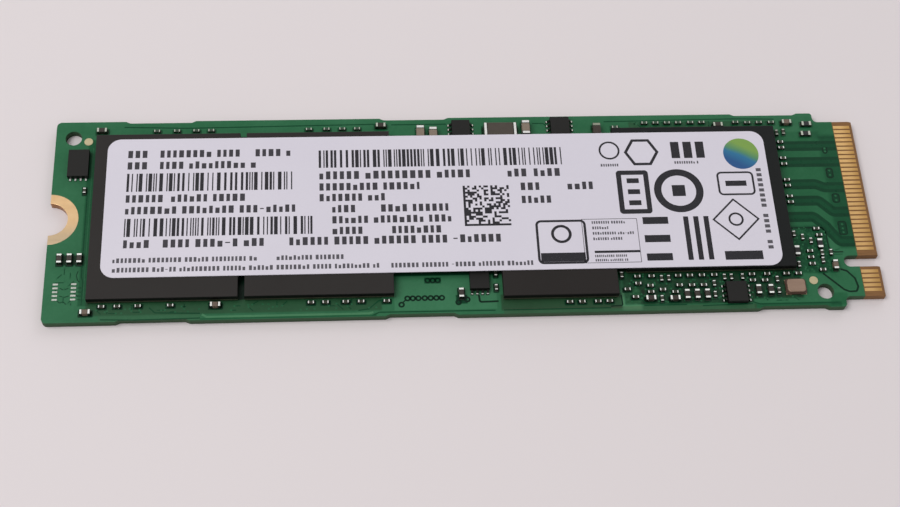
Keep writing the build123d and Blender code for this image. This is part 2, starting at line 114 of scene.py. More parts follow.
class Finish(Graph):
    def __init__(self, name):
        self.material = bpy.data.materials.new(name)
        self.material.use_nodes = True
        super().__init__(self.material.node_tree)
        self.tree.nodes.clear()
        self.shader = self.node("ShaderNodeBsdfPrincipled")
        self.node("ShaderNodeOutputMaterial", sockets={"Surface": self.shader.outputs[0]})
        self.place = self.out("ShaderNodeTexCoord", output="Object")

    def set(self, **sockets):
        names = {"colour": "Base Color", "rough": "Roughness", "metal": "Metallic", "coat": "Coat Weight",
                 "coatRough": "Coat Roughness", "specular": "Specular IOR Level", "normal": "Normal"}
        for name, value in sockets.items():
            self.feed(self.shader.inputs[names[name]], value)

    def made(self, **sockets):
        self.set(**sockets)
        return self.material

    def stretched(self, scale):
        return self.out("ShaderNodeMapping", sockets={"Vector": self.place, "Scale": scale})

    def noise(self, perMetre, detail=3.0, rough=0.55, vector=None):
        return self.out("ShaderNodeTexNoise", sockets={
            "Vector": vector or self.place, "Scale": perMetre, "Detail": detail, "Roughness": rough})

    def spread(self, value, low, high):
        # Takes 0..1 to low..high
        return value * (high - low) + low

    def mix(self, factor, first, second):
        pair = [colour if isinstance(colour, Signal) else (*colour, 1) for colour in (first, second)]
        return self.out("ShaderNodeMix", {"data_type": "RGBA"}, {0: factor, 6: pair[0], 7: pair[1]}, output=2)

    def varied(self, factor, tone, low, high):
        # From one multiple of a tone to another
        return self.mix(factor, [low * c for c in tone], [high * c for c in tone])

    def ramp(self, value, stops):
        return self.out("ShaderNodeValToRGB", {"stops": stops}, {"Fac": value})

    def axes(self, vector=None):
        node = self.node("ShaderNodeSeparateXYZ", sockets={0: vector or self.place})
        return [Signal(self, output) for output in node.outputs]

    def rise(self, value, edge, soft, falling=False):
        # 0 to 1 across a soft edge, or 1 to 0
        return self.out("ShaderNodeMapRange", {"interpolation_type": "SMOOTHSTEP"}, {
            "Value": value, "From Min": edge - soft / 2, "From Max": edge + soft / 2,
            "To Min": float(falling), "To Max": float(not falling)})

    def facing(self):
        # The surface's own normal, so tops and sides can differ
        return self.axes(self.out("ShaderNodeNewGeometry", output="True Normal"))

    def upward(self, edge=0.6, soft=0.5):
        # 1 where the surface faces up, 0 on steep sides
        return self.rise(self.facing()[2], edge, soft)

    def inside(self, x, y, x0, x1, y0, y1, soft):
        # 1 within a rectangle given in mm, with soft sides
        return (self.rise(x, x0 * mm, soft * mm) * self.rise(x, x1 * mm, soft * mm, falling=True)
                * self.rise(y, y0 * mm, soft * mm) * self.rise(y, y1 * mm, soft * mm, falling=True))

    def bump(self, height, strength, distance):
        return self.out("ShaderNodeBump", sockets={
            "Height": height, "Strength": strength, "Distance": distance})


# Finishes: colours in linear light, noise per metre, bumps in metres

maskLook = {
    "tones": [(0.0, (0.001, 0.017, 0.008)), (0.30, (0.002, 0.056, 0.021)), (0.55, (0.014, 0.108, 0.043)),
              (0.80, (0.044, 0.182, 0.088)), (1.0, (0.085, 0.240, 0.118))],
    # pocket: the tone of the plates round each part's pads, partly painted shade
    "copper": 0.66, "bare": 0.19, "pocket": 0.15, "dark": 0.02, "trace": 0.30, "bright": 0.90, "rim": 0.60,
    "laminate": (0.215, 0.106, 0.041), "side": (0.034, 0.068, 0.033), "upperSide": (0.028, 0.098, 0.038),
    "dust": (0.060, 0.050, 0.036), "rough": (0.24, 0.34), "specular": 0.20, "coat": 0.08, "mottle": 0.10,
    # x0, x1, y0, y1 in mm, softness, change of tone, change of mottle, share of dust
    "zones": [
        (0.0, 76.0, 9.55, 10.6, 0.4, -0.02, 0.05, 0.0), (57.0, 71.5, 9.0, 10.2, 0.3, -0.14, 0.25, 0.2),
        (4.0, 31.5, -10.35, -8.9, 0.25, -0.16, 0.12, 0.22),
        (42.8, 54.3, -10.65, -9.0, 0.2, -0.20, 0.08, 0.30),
        # The three zones round the component clusters by the controller, with tone changes of -0.42 and
        # -0.32, are darker partly for the bare pads and vias there and partly as painted shade between the
        # parts
        (54.6, 67.0, -10.35, -6.6, 0.3, -0.42, 0.95, 0.15),
        (66.9, 71.9, -9.95, -6.6, 0.3, -0.42, 0.95, 0.15),
        (71.2, 75.3, -7.3, -2.2, 0.4, -0.32, 0.85, 0.0), (74.5, 76.2, -10.8, -9.5, 0.3, -0.12, 0.0, 0.0),
        (76.3, 78.2, -4.6, 8.3, 0.6, -0.28, 0.12, 0.0), (75.6, 78.2, 7.9, 9.9, 0.5, -0.10, 0.05, 0.0),
        (71.4, 76.4, -2.4, 8.8, 0.3, -0.10, 0.0, 0.0), (74.9, 77.4, -9.2, -7.4, 0.3, -0.04, 0.0, 0.0),
        (32.7, 42.4, -10.45, -6.6, 0.15, 0.12, 0.0, 0.0), (54.3, 56.2, -10.9, -8.7, 0.4, 0.30, 0.0, 0.0),
        (3.25, 4.3, -9.3, 8.9, 0.2, -0.20, 0.10, 0.0), (0.95, 3.52, -4.98, -3.95, 0.12, -0.5, 0.2, 0.2),
        (43.0, 67.2, -11.0, -10.5, 0.15, -0.04, 0.0, 0.28),
        (67.0, 75.5, -10.95, -10.45, 0.12, -0.16, 0.0, 0.0),
        (5.2, 14.6, -11.0, -10.35, 0.15, 0.0, 0.05, 0.15),
        (14.6, 31.0, -10.95, -10.82, 0.08, -0.2, 0.0, 0.0),
        (38.55, 39.6, -9.85, -8.95, 0.15, -0.55, 0.0, 0.0),
        (35.6, 37.2, -7.68, -7.02, 0.08, -0.30, 0.0, 0.0),
        # On the next line, painted shade: the dark gap between the two flash packages, and the board under
        # the label, in the label's shadow
        (17.8, 19.0, -8.95, 9.0, 0.15, -0.8, 0.0, 0.0), (5.2, 70.0, -6.82, 8.2, 0.15, -0.6, 0.2, 0.0),
    ],
    # The bare underside: change of tone, then x0, x1, y0, y1 in mm, and where its vias stand
    "belowZones": {
        -0.36: [(58.0, 78.2, 6.5, 7.6), (60.5, 78.2, 4.7, 5.8), (58.0, 78.2, 2.1, 3.2),
                (60.5, 78.2, 0.2, 1.3), (58.0, 78.2, -1.7, -0.6), (60.5, 76.0, -4.0, -3.1),
                (33.4, 42.2, -8.6, -7.9), (33.4, 42.2, 7.9, 8.6), (32.6, 33.4, -8.6, 8.6)],
        -0.3: [(-1.0, 0.35, -12.0, 12.0), (0.0, 78.0, 10.5, 12.0), (0.0, 78.0, -12.0, -10.5)],
    },
    "belowVias": [(5.5, 16.8, -7.8, 7.8), (20.0, 31.4, -7.8, 7.8), (44.3, 52.8, -8.4, 0.8),
                  (35.0, 40.6, -3.0, 6.8), (44.5, 56.5, 3.2, 8.6), (54.5, 59.5, -8.6, 1.6)],
    "belowSoft": 0.1,
    "viaGrid": {"scale": 950.0, "loose": 0.45, "edge": 0.22, "soft": 0.06, "change": -0.42},
    "farStrip": 8.7, "tailStart": 71.4, "stripSoft": 0.3,  # where pockets are lighter, in mm
}


def maskTone(finish, level):
    # Shade of the mask from 0, bare laminate in shadow, to 1, thin mask over copper
    cloud = finish.noise(300, 2.0)
    fine = finish.noise(3300, 3.0, 0.6)
    return level + (cloud - 0.5) * 0.16 + (fine - 0.5) * maskLook["mottle"]


def maskFinish(name, level, lighter=0.0):
    # Lighter by so much along the far edge and in the tail
    finish = Finish(name)
    tone = maskTone(finish, maskLook[level])
    if lighter:
        x, y, z = finish.axes()
        farStrip, tailStart, soft = (maskLook[k] * mm for k in ("farStrip", "tailStart", "stripSoft"))
        tone = tone + finish.rise(y, farStrip, soft) * lighter
        tone = tone + finish.rise(x, tailStart, soft) * finish.rise(y, farStrip, soft, falling=True) * lighter
    ripple = finish.noise(2600, 3.0)
    finish.set(colour=finish.ramp(tone, maskLook["tones"]), rough=finish.spread(ripple, *maskLook["rough"]))
    finish.set(specular=maskLook["specular"], coat=maskLook["coat"], coatRough=0.16)
    return finish.made(normal=finish.bump(ripple, 0.12, 0.00002))


def boardFinish():
    finish = Finish("green_solder_mask")
    x, y, z = finish.axes()
    patches = finish.noise(1500, 3.0, 0.65) - 0.5
    shift, dust, lowShift, field = 0.0, 0.0, 0.0, 0.0
    for x0, x1, y0, y1, soft, change, mottle, share in maskLook["zones"]:
        zone = finish.inside(x, y, x0, x1, y0, y1, soft)
        shift = zone * (patches * mottle + change) + shift
        if share:
            dust = zone * share + dust
    for change, areas in maskLook["belowZones"].items():
        for area in areas:
            lowShift = finish.inside(x, y, *area, maskLook["belowSoft"]) * change + lowShift
    for area in maskLook["belowVias"]:
        field = finish.inside(x, y, *area, maskLook["belowSoft"]) + field
    grid = maskLook["viaGrid"]
    cells = finish.out("ShaderNodeTexVoronoi", {"voronoi_dimensions": "2D"}, {
        "Vector": finish.place, "Scale": grid["scale"], "Randomness": grid["loose"]})
    rings = finish.rise(cells, grid["edge"], grid["soft"], falling=True)
    lowShift = field * rings * grid["change"] + lowShift
    above = z > boardTop / 2
    tone = maskTone(finish, maskLook["copper"]) + shift * above + lowShift * (1 - above)
    green = finish.mix(dust * above, finish.ramp(tone, maskLook["tones"]), maskLook["dust"])
    flat = finish.out("ShaderNodeMath", {"operation": "ABSOLUTE"}, {0: finish.facing()[2]}) > 0.5
    bareTongue = x > contactStart - 0.05 * mm
    layers = finish.noise(1300, 3.0, vector=finish.stretched((0.35, 0.35, 9)))
    fibres = finish.noise(5000, 2.0, vector=finish.stretched((0.12, 1, 1)))
    glass = finish.varied(layers, maskLook["side"], 0.5, 1.6)
    brown = finish.varied(fibres, maskLook["laminate"], 0.7, 1.3)
    glass = finish.mix(finish.rise(z, 0.42 * mm, 0.12 * mm) * 0.6, glass, maskLook["upperSide"])
    side = finish.mix(bareTongue, glass, brown)
    top = finish.mix(bareTongue, green, brown)
    finish.set(colour=finish.mix(flat, side, top), specular=maskLook["specular"])
    masked = flat * (1 - bareTongue)
    ripple = finish.noise(2600, 3.0)
    finish.set(rough=0.60 - masked * 0.30, coat=masked * maskLook["coat"])
    return finish.made(normal=finish.bump(ripple * masked + layers * (1 - flat) * 2.0, 0.14, 0.00002))


def goldFinish(name, dull, bright, fade=None):
    # Fades to another tone across an edge along one axis, in mm
    finish = Finish(name)
    cloud = finish.noise(1100, 3.0)
    scratch = finish.noise(2400, 2.0, vector=finish.stretched((0.08, 1, 1)))
    top = finish.mix(cloud, dull, bright)
    if fade:
        along = finish.axes()[fade["axis"]]
        past = finish.rise(along, fade["edge"] * mm, fade["soft"] * mm, fade["falling"])
        top = finish.mix(past, top, fade["tone"])
    # Faces that don't face up take a dark brown: painted shade on the plated walls and edges
    finish.set(colour=finish.mix(finish.upward(), (0.36, 0.18, 0.08), top))
    finish.set(metal=0.8, rough=finish.spread(scratch, 0.26, 0.46))
    return finish.made(normal=finish.bump(finish.noise(6000), 0.15, 0.00001))


def solderFinish(name, side, dull, bright, ceiling=None, far=None, dry=0.6):
    # Painted highlight on the tops that face up and painted shade down the flanks. Above the ceiling, on a
    # lead's shoulder, painted shade too
    finish = Finish(name)
    x, y, z = finish.axes()
    cloud = finish.noise(3200, 3.0)
    up = finish.upward(0.86, 0.16)
    if ceiling:
        up = up * finish.rise(z, ceiling, 0.06 * mm, falling=True)
    top = finish.mix(cloud, dull, bright)
    if far:  # another tone past a corner: x, y in mm and the tone
        past = finish.rise(x, far[0] * mm, 0.1 * mm) * finish.rise(y, far[1] * mm, 0.3 * mm)
        top = finish.mix(past, top, far[2])
    # side is the painted shade on the flanks; top, where the surface faces up, is the painted highlight
    finish.set(colour=finish.mix(up, side, top))
    finish.set(metal=1 - up * dry, rough=finish.spread(cloud, 0.2, 0.36))
    return finish.made(normal=finish.bump(finish.noise(7000), 0.2, 0.00001))


mouldLook = {
    "flash": (0.0235, 0.0208, 0.0198), "memory": (0.0185, 0.0155, 0.0145),
    "controller": (0.0066, 0.0078, 0.0080), "chip": (0.0150, 0.0145, 0.0138),
    # side: a near-black for the steep sides of every mould, painted shade
    "side": (0.0015, 0.0015, 0.0015), "fleck": (0.042, 0.038, 0.036), "grain": 11000,
}


def mouldFinish(kind):
    finish = Finish(f"moulded_epoxy_{kind}")
    tone = mouldLook[kind]
    grain = finish.noise(mouldLook["grain"], 4.0, 0.7)
    cloud = finish.noise(160, 3.0)
    tint = finish.varied(cloud, tone, 0.84, 1.16)
    # Steep sides take the side colour: painted shade
    tint = finish.mix(finish.upward(), mouldLook["side"], tint)
    flecks = finish.upward() * finish.ramp(grain, [(0.64, (0, 0, 0)), (0.76, (1, 1, 1))])
    tint = finish.mix(finish.spread(flecks, 0.0, 0.6), tint, mouldLook["fleck"])
    finish.set(colour=tint, rough=finish.spread(grain, 0.42, 0.62), specular=0.19)
    return finish.made(normal=finish.bump(grain, 0.35, 0.000012))


def substrateFinish():
    finish = Finish("package_substrate")
    layers = finish.noise(2600, 2.0, vector=finish.stretched((0.2, 0.2, 8)))
    finish.set(colour=finish.mix(layers, (0.016, 0.028, 0.014), (0.060, 0.066, 0.032)), rough=0.55)
    return finish.made(normal=finish.bump(layers, 0.2, 0.00001))


def ceramicFinish(name, dark, light, rough=(0.35, 0.6), far=None):
    finish = Finish(name)
    grain = finish.noise(9000, 4.0, 0.7)
    cloud = finish.noise(1500, 2.0)
    tint = finish.mix(finish.spread(cloud, 0, 0.8) + grain * 0.2, dark, light)
    if far:  # another tone in the far edge's row
        tint = finish.mix(finish.rise(finish.axes()[1], 8.9 * mm, 0.2 * mm), tint, far)
    finish.set(colour=tint, rough=finish.spread(grain, *rough))
    return finish.made(normal=finish.bump(grain, 0.3, 0.00001))


def sortedCeramicFinish(name, plain, other, areas):
    # Two tones of ceramic: the other one on the bodies within some areas of the board, in mm
    finish = Finish(name)
    x, y, z = finish.axes()
    grain = finish.noise(9000, 4.0, 0.7)
    share = 0.0
    for area in areas:
        share = finish.inside(x, y, *area, 0.1) + share
    finish.set(colour=finish.mix(share, finish.mix(grain, *plain), finish.mix(grain, *other)))
    return finish.made(rough=finish.spread(grain, 0.35, 0.6), normal=finish.bump(grain, 0.3, 0.00001))


def lidFinish():
    finish = Finish("crystal_lid_metal")
    brushed = finish.noise(2600, 3.0, vector=finish.stretched((0.15, 1, 1)))
    tint = finish.mix(brushed, (0.290, 0.190, 0.135), (0.400, 0.280, 0.215))
    finish.set(colour=tint, metal=0.6, rough=finish.spread(brushed, 0.42, 0.6))
    return finish.made(normal=finish.bump(brushed, 0.2, 0.00001))


def labelFinish():
    finish = Finish("label_film")
    fibre = finish.noise(3000, 4.0, 0.65)
    cloud = finish.noise(90, 2.0)
    tint = finish.mix(cloud, (0.655, 0.625, 0.715), (0.715, 0.685, 0.765))
    tint = finish.mix(finish.spread(fibre, 0.0, 0.14), tint, (0.52, 0.50, 0.58))
    finish.set(colour=tint, rough=finish.spread(fibre, 0.42, 0.56), specular=0.4)
    return finish.made(normal=finish.bump(fibre + cloud * 3.0, 0.12, 0.00002))


def inkFinish(name, tone):
    finish = Finish(name)
    speckle = finish.noise(9000, 3.0, 0.7)
    worn = finish.ramp(speckle, [(0.60, (0, 0, 0)), (0.78, (1, 1, 1))])
    tint = finish.mix(finish.spread(worn, 0.0, 0.35), tone, (0.30, 0.29, 0.33))
    return finish.made(colour=tint, rough=finish.spread(speckle, 0.38, 0.55), specular=0.35)


def discFinish(centre, radius):
    # Two plain tones that meet along a soft curve
    finish = Finish("label_disc_ink")
    x, y, z = finish.axes()
    lean = (y - centre.y) * (1 / radius) + (x - centre.x) * (0.55 / radius)
    wave = finish.noise(500, 1.0)
    blend = lean * 0.5 + 0.5 + (wave - 0.5) * 0.12
    tint = finish.ramp(blend, [
        (0.10, (0.006, 0.075, 0.235)), (0.40, (0.012, 0.150, 0.30)),
        (0.56, (0.075, 0.24, 0.11)), (0.80, (0.185, 0.335, 0.060))])
    return finish.made(colour=tint, rough=finish.spread(wave, 0.36, 0.48))


print("stage: finishes")
finishes = {
    "board": boardFinish(),
    "trace": maskFinish("mask_over_trace", "trace"),
    "bare": maskFinish("mask_over_laminate", "bare"),
    # This tone serves the plates round the parts, which are partly painted shade, and the fine lines
    "pocket": maskFinish("mask_round_pads_and_shade", "pocket", 0.26),
    "bright": maskFinish("mask_over_wide_copper", "bright"),
    "rim": maskFinish("mask_over_copper_edge", "rim"),
    "dark": maskFinish("mask_in_a_gap", "dark"),
    "gold": goldFinish("gold_plating", (0.84, 0.53, 0.26), (0.98, 0.70, 0.40), {
        "axis": 1, "edge": -1.0, "soft": 2.4, "falling": True, "tone": (0.66, 0.50, 0.32)}),
    "contactGold": goldFinish("contact_gold", (0.76, 0.45, 0.16), (0.92, 0.60, 0.26), {
        "axis": 0, "edge": 79.2, "soft": 1.2, "falling": False, "tone": (0.60, 0.33, 0.10)}),
    "mark": goldFinish("bare_copper_mark", (0.66, 0.56, 0.33), (0.80, 0.70, 0.45)),
    "solder": solderFinish("bright_solder", (0.12, 0.125, 0.11), (0.86, 0.88, 0.85), (0.99, 0.99, 0.97),
                           far=(50, 8.4, (0.34, 0.36, 0.28))),
    "smallSolder": solderFinish("small_joint_solder", (0.07, 0.075, 0.065), (0.84, 0.87, 0.83),
                                (0.98, 0.99, 0.96), far=(-5, 8.2, (0.50, 0.54, 0.46)), dry=0.9),
    "lead": solderFinish("lead_solder", (0.035, 0.037, 0.033), (0.66, 0.70, 0.65), (0.88, 0.92, 0.86),
                         ceiling=boardTop + 0.2 * mm, far=(-5, 8.2, (0.84, 0.87, 0.78))),
    "tin": solderFinish("tinned_pad", (0.10, 0.11, 0.10), (0.50, 0.54, 0.49), (0.66, 0.70, 0.64)),
    "flash": mouldFinish("flash"),
    "memory": mouldFinish("memory"),
    "controller": mouldFinish("controller"),
    "chip": mouldFinish("chip"),
    "substrate": substrateFinish(),
    "largeCapacitor": sortedCeramicFinish(  # fired brown, and nearly black on the one by the controller
        "large_capacitor_ceramic", ((0.165, 0.128, 0.094), (0.270, 0.212, 0.162)),
        ((0.020, 0.013, 0.008), (0.045, 0.030, 0.020)), [(50, 90, -20, 20)]),
    "smallCapacitor": ceramicFinish("small_capacitor_ceramic", (0.022, 0.025, 0.015), (0.048, 0.050, 0.033),
                                    far=(0.030, 0.062, 0.037)),
    "mediumCapacitor": sortedCeramicFinish(  # dark, with four paler brown ones
        "medium_capacitor_ceramic", ((0.018, 0.013, 0.010), (0.040, 0.030, 0.022)),
        ((0.110, 0.075, 0.055), (0.180, 0.130, 0.098)),
        [(14.5, 17, -20, 20), (74.7, 90, -20, -5.5), (-10, 6, -20, -8), (71, 90, 9, 20)]),
    "bulkCapacitor": ceramicFinish("bulk_capacitor_ceramic", (0.044, 0.034, 0.024), (0.066, 0.052, 0.039)),
    "resistor": ceramicFinish("resistor_glaze", (0.010, 0.010, 0.011), (0.022, 0.022, 0.024), (0.22, 0.4)),
    "inductor": ceramicFinish("pressed_powder", (0.045, 0.045, 0.048), (0.085, 0.085, 0.088)),
    "crystalBase": ceramicFinish("crystal_ceramic", (0.050, 0.022, 0.014), (0.090, 0.042, 0.028)),
    "lid": lidFinish(),
    "label": labelFinish(),
    "ink": inkFinish("label_ink", (0.014, 0.013, 0.018)),
    "wordInk": inkFinish("label_word_ink", (0.040, 0.037, 0.046)),
    "greyInk": inkFinish("label_grey_ink", (0.085, 0.080, 0.095)),
}


# Pieces

def newObject(name, data):
    made = bpy.data.objects.new(name, data)
    bpy.context.scene.collection.objects.link(made)
    return made


def addPiece(name, mesh, finish, replaced=()):
    mesh.materials.clear()
    mesh.materials.append(finishes[finish])
    piece = newObject(name, mesh)
    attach(piece, "root")
    if replaced:
        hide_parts(*replaced)
    return piece


def meshFrom(shape, name):
    mesh = bpy.data.meshes.new(name)
    shape.to_mesh(mesh)
    shape.free()
    return mesh


def mergedCopy(node):
    # A CAD node's loose triangles, joined along their edges
    shape = bmesh.new()
    shape.from_mesh(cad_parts[node].data)
    bmesh.ops.remove_doubles(shape, verts=shape.verts, dist=0.0002 * mm)
    return shape


def soften(node, edge, finish, segments=2, sharp=30):
    # Replaces a CAD node by the same form with its sharp edges eased
    shape = mergedCopy(node)
    bmesh.ops.dissolve_limit(shape, angle_limit=math.radians(1), verts=shape.verts, edges=shape.edges)
    edges = [e for e in shape.edges if len(e.link_faces) == 2 and e.calc_face_angle(0) > math.radians(sharp)]
    bmesh.ops.bevel(shape, geom=edges, offset=edge, segments=segments, profile=0.6, affect="EDGES",
                    clamp_overlap=True)
    bmesh.ops.triangulate(shape, faces=[f for f in shape.faces if len(f.verts) > 4])
    return addPiece(f"{node}_eased", meshFrom(shape, node), finish, [node])


def islandsOf(node):
    # Lowest and highest corner of each separate solid in a CAD node
    shape = mergedCopy(node)
    left = set(shape.verts)
    corners = []
    while left:
        start = left.pop()
        group = [start]
        queue = [start]
        while queue:
            for edge in queue.pop().link_edges:
                for vertex in edge.verts:
                    if vertex in left:
                        left.remove(vertex)
                        group.append(vertex)
                        queue.append(vertex)
        low = Vector(min(v.co[i] for v in group) for i in range(3))
        high = Vector(max(v.co[i] for v in group) for i in range(3))
        corners.append((low, high))
    shape.free()
    return sorted(corners, key=lambda pair: (round(pair[0].x, 6), round(pair[0].y, 6)))


def band(shape, first, second):
    # Faces between two closed loops with as many points each
    for i in range(len(first)):
        j = (i + 1) % len(first)
        shape.faces.new((first[i], first[j], second[j], second[i]))


def stack(shape, loops):
    # A closed skin over loops that lie one above another
    for lower, upper in zip(loops, loops[1:]):
        band(shape, lower, upper)
    shape.faces.new(list(reversed(loops[0])))
    shape.faces.new(loops[-1])


def prism(shape, outline, low, high):
    # A flat plate with a given outline
    stack(shape, [[shape.verts.new((x, y, z)) for x, y in outline] for z in (low, high)])


def ringPrism(shape, outer, inner, low, high):
    # A flat frame between two outlines with as many points each
    levels = [[shape.verts.new((x, y, z)) for x, y in line] for z in (low, high) for line in (outer, inner)]
    lowOuter, lowInner, highOuter, highInner = levels
    section = [highOuter, highInner, lowInner, lowOuter, highOuter]
    for first, second in zip(section, section[1:]):
        band(shape, first, second)


def roundedOutline(x, y, width, height, radius, steps=6):
    # Rounded rectangle about its centre, anticlockwise
    points = []
    for turn, (sx, sy) in enumerate(((1, 1), (-1, 1), (-1, -1), (1, -1))):
        cx = x + sx * (width / 2 - radius)
        cy = y + sy * (height / 2 - radius)
        for i in range(steps + 1):
            angle = math.pi / 2 * (turn + i / steps)
            points.append((cx + radius * math.cos(angle), cy + radius * math.sin(angle)))
    return points


def circleOutline(x, y, radius, count=40):
    return [(x + radius * math.cos(math.tau * i / count), y + radius * math.sin(math.tau * i / count))
            for i in range(count)]


# Geometry Nodes: units set on points, and ribbons along lines

def newTree(name, inputs):
    tree = bpy.data.node_groups.new(name, "GeometryNodeTree")
    tree.interface.new_socket(name="Geometry", in_out="INPUT", socket_type="NodeSocketGeometry")
    for label, kind in inputs:
        tree.interface.new_socket(name=label, in_out="INPUT", socket_type=kind)
    tree.interface.new_socket(name="Geometry", in_out="OUTPUT", socket_type="NodeSocketGeometry")
    graph = Graph(tree)
    start = graph.node("NodeGroupInput")
    return tree, graph, {socket.name: socket for socket in start.outputs if socket.name}


def closeTree(graph, geometry, given):
    real = graph.out("GeometryNodeRealizeInstances", sockets={"Geometry": geometry})
    dressed = graph.out("GeometryNodeSetMaterial", sockets={"Geometry": real, "Material": given["Finish"]})
    graph.node("NodeGroupOutput", sockets={"Geometry": dressed})


def unitsTree():
    # Sets one unit on each point, turned about Z by the point's own turn
    tree, graph, given = newTree("set_units", [
        ("Unit", "NodeSocketObject"), ("Finish", "NodeSocketMaterial")])
    unit = graph.out("GeometryNodeObjectInfo", sockets={"Object": given["Unit"]}, output="Geometry")
    turn = graph.out("GeometryNodeInputNamedAttribute", {"data_type": "FLOAT"}, {"Name": "turn"})
    facing = graph.out("ShaderNodeCombineXYZ", sockets={"Z": turn})
    points = graph.out("GeometryNodeInstanceOnPoints", sockets={
        "Points": given["Geometry"], "Instance": unit, "Rotation": facing})
    closeTree(graph, points, given)
    return tree


def ribbonTree():
    # Turns lines into flat strips with rounded corners
    tree, graph, given = newTree("lay_ribbons", [
        ("Width", "NodeSocketFloat"), ("Height", "NodeSocketFloat"), ("Corner", "NodeSocketFloat"),
        ("Finish", "NodeSocketMaterial")])
    rounded = graph.out("GeometryNodeFilletCurve", {"mode": "POLY"}, {
        "Curve": given["Geometry"], "Count": 4, "Radius": given["Corner"], "Limit Radius": True})
    level = graph.out("GeometryNodeSetCurveNormal", {"mode": "Z_UP"}, {"Curve": rounded})
    section = graph.out("GeometryNodeCurvePrimitiveQuadrilateral", sockets={
        "Width": given["Width"], "Height": given["Height"]})
    strip = graph.out("GeometryNodeCurveToMesh", sockets={
        "Curve": level, "Profile Curve": section, "Fill Caps": True})
    crisp = graph.out("GeometryNodeSetShadeSmooth", {"domain": "FACE"}, {
        "Geometry": strip, "Shade Smooth": False})
    closeTree(graph, crisp, given)
    return tree


trees = {"units": unitsTree(), "ribbons": ribbonTree()}


def grow(source, treeName, values):
    # Runs a tree on an object and returns the plain mesh; the source goes
    modifier = source.modifiers.new("grow", "NODES")
    modifier.node_group = trees[treeName]
    for item in modifier.node_group.interface.items_tree:
        if item.in_out == "INPUT" and item.name in values:
            modifier[item.identifier] = values[item.name]
    bpy.context.view_layer.update()
    depsgraph = bpy.context.evaluated_depsgraph_get()
    mesh = bpy.data.meshes.new_from_object(source.evaluated_get(depsgraph))
    source.modifiers.remove(modifier)
    bpy.data.objects.remove(source)
    return mesh


def setUnits(name, unitMesh, places, finish, replaced=()):
    # places: (point, turn) for each copy of the unit
    points = bpy.data.meshes.new(f"{name}_points")
    points.from_pydata([place for place, turn in places], [], [])
    turns = points.attributes.new("turn", "FLOAT", "POINT")
    for i, (place, turn) in enumerate(places):
        turns.data[i].value = turn
    unit = newObject(f"{name}_unit", unitMesh)
    mesh = grow(newObject(f"{name}_source", points), "units", {"Unit": unit, "Finish": finishes[finish]})
    bpy.data.objects.remove(unit)
    return addPiece(name, mesh, finish, replaced)


def layRibbons(name, lines, width, low, height, corner, finish):
    # lines: lists of (x, y) in metres. The strips stand on low
    curve = bpy.data.curves.new(f"{name}_lines", "CURVE")
    curve.dimensions = "3D"
    for line in lines:
        spline = curve.splines.new("POLY")
        spline.points.add(len(line) - 1)
        for point, (x, y) in zip(spline.points, line):
            point.co = (x, y, low + height / 2, 1)
    mesh = grow(newObject(f"{name}_source", curve), "ribbons", {
        "Width": width, "Height": height, "Corner": corner, "Finish": finishes[finish]})
    return addPiece(name, mesh, finish)


# Board, gold and packages: the CAD forms with eased edges

packageKinds = {"flash_1": "flash", "flash_2": "flash", "memory": "memory", "controller": "controller"}
leadedChips = ("load_switch", "voltage_detector", "supply_monitor", "temperature_sensor")

print("stage: board and packages")
soften("circuit_board", 0.05 * mm, "board", 3)
soften("screw_notch_plating", 0.02 * mm, "gold")
soften("edge_contacts_top", 0.008 * mm, "contactGold", 1)
soften("edge_contacts_bottom", 0.008 * mm, "contactGold", 1)
soften("placement_marks", 0.01 * mm, "mark", 1)
soften("spare_footprint_pads", 0.01 * mm, "tin", 1)
for package, kind in packageKinds.items():
    soften(f"{package}_mould", 0.03 * mm, kind)
    soften(f"{package}_substrate", 0.01 * mm, "substrate", 1)
for chip in leadedChips:
    soften(f"{chip}_body", 0.03 * mm, "chip", sharp=14)
for chip in ("serial_memory", "power_converter"):
    soften(f"{chip}_body", 0.03 * mm, "chip")
    soften(f"{chip}_tabs", 0.02 * mm, "solder", 1)
soften("power_inductor_bodies", 0.06 * mm, "inductor", sharp=40)
soften("power_inductor_terminals", 0.03 * mm, "solder", 1)
soften("crystal_pads", 0.01 * mm, "gold", 1)
soften("crystal_base", 0.015 * mm, "crystalBase", 1)
soften("crystal_lid", 0.04 * mm, "lid", sharp=20)


# Solder balls: barrels squeezed between pad and substrate

ballLook = {"waist": 0.21, "neck": 0.15, "sides": 12, "rings": 5}


def ballUnit(height):
    shape = bmesh.new()
    rings = []
    for i in range(ballLook["rings"]):
        t = i / (ballLook["rings"] - 1)
        radius = mm * (ballLook["neck"] + (ballLook["waist"] - ballLook["neck"]) * math.sin(math.pi * t))
        outline = circleOutline(0, 0, radius, ballLook["sides"])
        rings.append([shape.verts.new((x, y, height * t)) for x, y in outline])
    stack(shape, rings)
    return meshFrom(shape, "ball")


for package in packageKinds:
    node = f"{package}_solder_balls"
    balls = islandsOf(node)
    height = balls[0][1].z - balls[0][0].z
    places = [(((low + high) / 2).to_2d().to_3d() + Vector((0, 0, low.z)), 0.0) for low, high in balls]
    setUnits(f"{node}_barrels", ballUnit(height), places, "solder", [node])


# Chip components: eased body, wrapped terminals and a hollow solder fillet round each end

